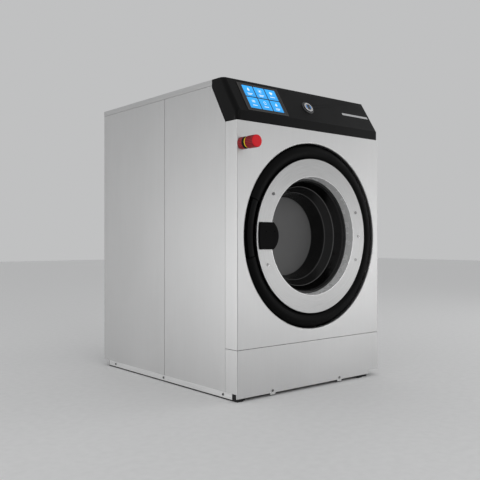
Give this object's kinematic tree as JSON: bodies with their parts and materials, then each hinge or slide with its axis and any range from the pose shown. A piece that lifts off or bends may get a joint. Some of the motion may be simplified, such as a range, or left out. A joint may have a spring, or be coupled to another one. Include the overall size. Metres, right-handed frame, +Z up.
{
  "type": "commercial washing machine",
  "caption": "Front-loading commercial washer-extractor with round glass door, steel cabinet, sloped black control fascia, jog knob and red emergency stop.",
  "frame": {"origin": "floor level, middle of the overall footprint (emergency stop to rear pipes, side panel to side panel)", "axes": "+Z up, the door faces -Y, +X to the right seen from the front"},
  "size_m": [0.72, 1.014, 1.07],
  "materials": {
    "base_frame": "satin",
    "plinth_strips": "brushed",
    "panel_screws": "polished",
    "side_left_front": "brushed",
    "side_left_rear": "brushed",
    "side_right_front": "brushed",
    "side_right_rear": "brushed",
    "front_panel": "brushed",
    "lower_front_panel": "brushed",
    "back_panel": "satin",
    "service_cover": "satin",
    "top_panel": "brushed",
    "fascia": "satin",
    "display_bezel": "satin",
    "display_screen": "gloss",
    "knob_collar": "satin",
    "estop_base": "satin",
    "estop_contacts": "matt",
    "hinge_bracket": "satin",
    "door_lock": "matt",
    "tub_shell": "plain",
    "tub_ends": "plain",
    "tub_supports": "satin",
    "door_seal": "matt",
    "bearing_housing": "cast",
    "bearings": "ground",
    "drive_belt": "matt",
    "motor": "satin",
    "drain_valve": "matt",
    "drain_pipe": "matt",
    "inlet_valves": "matt",
    "fill_hose": "matt",
    "dispenser_box": "matt",
    "inverter": "plain",
    "cable_gland": "matt",
    "door_surround": "satin",
    "door_ring": "circular brushed",
    "door_lip": "polished",
    "door_frame": "cast",
    "door_gasket": "matt",
    "door_glass": "clear, smoked",
    "door_screws": "polished",
    "hinge_leaf": "plain",
    "door_pins": "polished",
    "handle_hub": "satin",
    "handle_grip": "satin",
    "latch_hook": "plain",
    "drum_shell": "polished",
    "drum_front": "polished",
    "drum_lifters": "polished",
    "drum_back": "plain",
    "drum_shaft": "turned",
    "drum_pulley": "cast",
    "motor_pulley": "turned",
    "knob_stem": "turned",
    "knob": "polished",
    "estop_stem": "matt",
    "estop_collar": "satin",
    "estop_head": "satin",
    "dispenser_lid": "satin"
  },
  "bodies": {
    "cabinet": {"base_frame": "base_frame", "plinth_strips": "plinth_strips", "panel_screws": "panel_screws", "side_left_front": "side_left_front", "side_left_rear": "side_left_rear", "side_right_front": "side_right_front", "side_right_rear": "side_right_rear", "front_panel": "front_panel", "lower_front_panel": "lower_front_panel", "back_panel": "back_panel", "service_cover": "service_cover", "top_panel": "top_panel", "fascia": "fascia", "display_bezel": "display_bezel", "display_screen": "display_screen", "knob_collar": "knob_collar", "estop_base": "estop_base", "estop_contacts": "estop_contacts", "hinge_bracket": "hinge_bracket", "door_lock": "door_lock", "tub_shell": "tub_shell", "tub_ends": "tub_ends", "tub_supports": "tub_supports", "door_seal": "door_seal", "bearing_housing": "bearing_housing", "bearings": "bearings", "drive_belt": "drive_belt", "motor": "motor", "drain_valve": "drain_valve", "drain_pipe": "drain_pipe", "inlet_valves": "inlet_valves", "fill_hose": "fill_hose", "dispenser_box": "dispenser_box", "inverter": "inverter", "cable_gland": "cable_gland"},
    "door": {"door_surround": "door_surround", "door_ring": "door_ring", "door_lip": "door_lip", "door_frame": "door_frame", "door_gasket": "door_gasket", "door_glass": "door_glass", "door_screws": "door_screws", "hinge_leaf": "hinge_leaf", "door_pins": "door_pins", "handle_hub": "handle_hub"},
    "handle": {"handle_grip": "handle_grip", "latch_hook": "latch_hook"},
    "drum": {"drum_shell": "drum_shell", "drum_front": "drum_front", "drum_lifters": "drum_lifters", "drum_back": "drum_back", "drum_shaft": "drum_shaft", "drum_pulley": "drum_pulley"},
    "motor_rotor": {"motor_pulley": "motor_pulley"},
    "knob_plunger": {"knob_stem": "knob_stem"},
    "knob_cap": {"knob": "knob"},
    "estop_plunger": {"estop_stem": "estop_stem", "estop_collar": "estop_collar"},
    "estop_cap": {"estop_head": "estop_head"},
    "soap_lid": {"dispenser_lid": "dispenser_lid"}
  },
  "joints": [
    {"name": "door_hinge", "type": "hinge", "parent": "cabinet", "child": "door", "pos_m": [0.296, -0.422, 0.5415], "axis": [0, 0, 1], "range_deg": [0, 100]},
    {"name": "handle_pull", "type": "hinge", "parent": "door", "child": "handle", "pos_m": [-0.255, -0.41, 0.5415], "axis": [0, 0, 1], "range_deg": [0, 10], "stiffness_Nm_per_rad": 3, "springref_deg": -5.73},
    {"name": "drum_spin", "type": "hinge", "parent": "cabinet", "child": "drum", "pos_m": [0, 0, 0.5415], "axis": [0, -1, 0], "continuous": true},
    {"name": "motor_spin", "type": "hinge", "parent": "cabinet", "child": "motor_rotor", "pos_m": [0.15, 0.3, 0.15], "axis": [0, -1, 0], "continuous": true},
    {"name": "knob_press", "type": "slide", "parent": "cabinet", "child": "knob_plunger", "axis": [0, 0.8505, -0.526], "range_m": [0, 0.002], "stiffness_N_per_m": 1500, "springref_m": -0.001},
    {"name": "knob_turn", "type": "hinge", "parent": "knob_plunger", "child": "knob_cap", "pos_m": [0, -0.39712, 1.00415], "axis": [0, -0.8505, 0.526], "continuous": true},
    {"name": "estop_press", "type": "slide", "parent": "cabinet", "child": "estop_plunger", "axis": [0, 1, 0], "range_m": [0, 0.0055]},
    {"name": "estop_twist", "type": "hinge", "parent": "estop_plunger", "child": "estop_cap", "pos_m": [-0.339, -0.48, 0.842], "axis": [0, -1, 0], "range_deg": [0, 45], "stiffness_Nm_per_rad": 0.15, "springref_deg": -5.73},
    {"name": "soap_lid_hinge", "type": "hinge", "parent": "cabinet", "child": "soap_lid", "pos_m": [-0.18, -0.008, 1.065], "axis": [-1, 0, 0], "range_deg": [0, 100]}
  ],
  "couplings": [
    {"joint": "motor_spin", "follows": "drum_spin", "ratio": 4}
  ]
}
